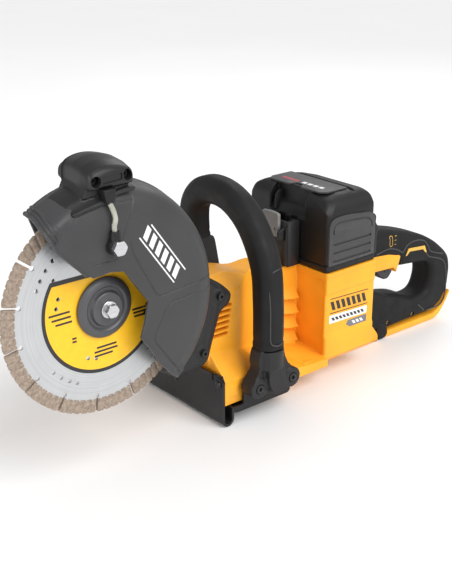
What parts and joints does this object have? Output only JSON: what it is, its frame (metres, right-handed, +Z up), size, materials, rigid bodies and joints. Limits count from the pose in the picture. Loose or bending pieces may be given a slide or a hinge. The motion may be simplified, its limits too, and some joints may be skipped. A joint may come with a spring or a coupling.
{
  "type": "cut-off saw",
  "caption": "Cordless cut-off saw with a swinging blade guard, slotted diamond blade, hoop front handle, slide-in battery on top and a closed rear handle with trigger.",
  "frame": {"origin": "centre of the footprint box, at the level of the surface that the saw stands on", "axes": "+X towards the blade end, +Y to the operator's left (the blade side), +Z up"},
  "size_m": [0.7612, 0.216, 0.3592],
  "materials": {
    "yellow_plastic": "fine-grained moulded nylon, signal yellow",
    "grey_plastic": "fine-grained moulded nylon, dark grey",
    "black_plastic": "fine-grained moulded nylon, black",
    "grip_rubber": "soft overmould, matt",
    "black_steel": "black powder coat on sheet steel",
    "handle_tube_metal": "black anodised tube",
    "dark_aluminium": "die cast, dark grey",
    "steel": "machined or brushed",
    "latch_grey": "moulded, mid grey",
    "copper": "wound copper stack",
    "cells": "sleeved cells packed in a block",
    "clear_tube": "clear flexible vinyl",
    "circuit": "potted electronics"
  },
  "bodies": {
    "body": {"gear_case": "dark_aluminium", "gear_cover": "black_plastic", "gear_cover_screw_1": "steel", "gear_cover_screw_2": "steel", "spindle_bearing_front": "steel", "spindle_bearing_rear": "steel", "motor_housing": "yellow_plastic", "stator": "copper", "motor_bearing_front": "steel", "motor_bearing_rear": "steel", "left_housing": "yellow_plastic", "right_housing": "yellow_plastic", "controller": "circuit", "battery_dock": "black_plastic", "rear_handle_left": "black_plastic", "rear_handle_right": "black_plastic", "handle_cheek": "yellow_plastic", "handle_trim": "yellow_plastic", "handle_bracket": "black_plastic", "switch_module": "circuit", "trigger_spring": "steel", "skid_plate": "black_steel", "skid_screw": "steel", "handle_tube": "handle_tube_metal", "handle_grip": "grip_rubber", "handle_foot": "black_plastic", "foot_screw_front": "steel", "foot_screw_rear": "steel", "handle_mount_right": "black_plastic"},
    "blade": {"diamond_blade": "steel", "outer_flange": "dark_aluminium", "inner_flange": "dark_aluminium", "blade_bolt": "steel", "spindle": "steel", "spindle_gear": "steel"},
    "idler": {"idler_gear": "steel"},
    "rotor": {"rotor_shaft": "steel", "rotor_core": "steel", "cooling_fan": "black_plastic"},
    "guard": {"guard_shell": "grey_plastic", "guard_back": "grey_plastic", "guard_lip": "grey_plastic", "guard_grip": "black_plastic", "grip_screw_front": "black_steel", "grip_screw_rear": "black_steel", "water_bolt": "steel", "banjo_fitting": "black_plastic", "water_tube": "clear_tube", "water_tee": "black_plastic"},
    "battery": {"battery_case": "black_plastic", "battery_base": "black_plastic", "cell_pack": "cells", "battery_top_plate": "latch_grey", "battery_panel_left": "grey_plastic", "battery_panel_right": "grey_plastic"},
    "latch": {"battery_latch": "latch_grey"},
    "trigger": {"trigger": "grey_plastic"},
    "lock_lever": {"lock_lever": "black_plastic"}
  },
  "joints": [
    {"name": "blade_spin", "type": "hinge", "parent": "body", "child": "blade", "pos_m": [0.2657, 0.066, 0.2026], "axis": [0, 1, 0], "continuous": true},
    {"name": "idler_spin", "type": "hinge", "parent": "body", "child": "idler", "pos_m": [0.20148, 0.029, 0.16888], "axis": [0, 1, 0], "continuous": true},
    {"name": "rotor_spin", "type": "hinge", "parent": "body", "child": "rotor", "pos_m": [0.15889, -0.032, 0.14652], "axis": [0, 1, 0], "continuous": true},
    {"name": "guard_swing", "type": "hinge", "parent": "body", "child": "guard", "pos_m": [0.2657, 0.066, 0.2026], "axis": [0, 1, 0], "range_deg": [-25, 30]},
    {"name": "battery_slide", "type": "slide", "parent": "body", "child": "battery", "axis": [0, 0, 1], "range_m": [0, 0.09]},
    {"name": "latch_press", "type": "hinge", "parent": "body", "child": "latch", "pos_m": [-0.0526, -0.032, 0.1886], "axis": [0, 1, 0], "range_deg": [0, 18], "stiffness_Nm_per_rad": 0.6, "springref_deg": -5.73},
    {"name": "trigger_pull", "type": "hinge", "parent": "body", "child": "trigger", "pos_m": [-0.2313, -0.02, 0.1166], "axis": [0, 1, 0], "range_deg": [0, 8], "stiffness_Nm_per_rad": 1.5, "springref_deg": -4.58, "deforming": ["trigger_spring"]},
    {"name": "lock_press", "type": "hinge", "parent": "body", "child": "lock_lever", "pos_m": [-0.2123, -0.02, 0.1166], "axis": [0, 1, 0], "range_deg": [-20, 0], "stiffness_Nm_per_rad": 0.4, "springref_deg": 6.88}
  ],
  "couplings": [
    {"joint": "idler_spin", "follows": "blade_spin", "ratio": -0.9},
    {"joint": "rotor_spin", "follows": "blade_spin", "ratio": 3.6}
  ]
}
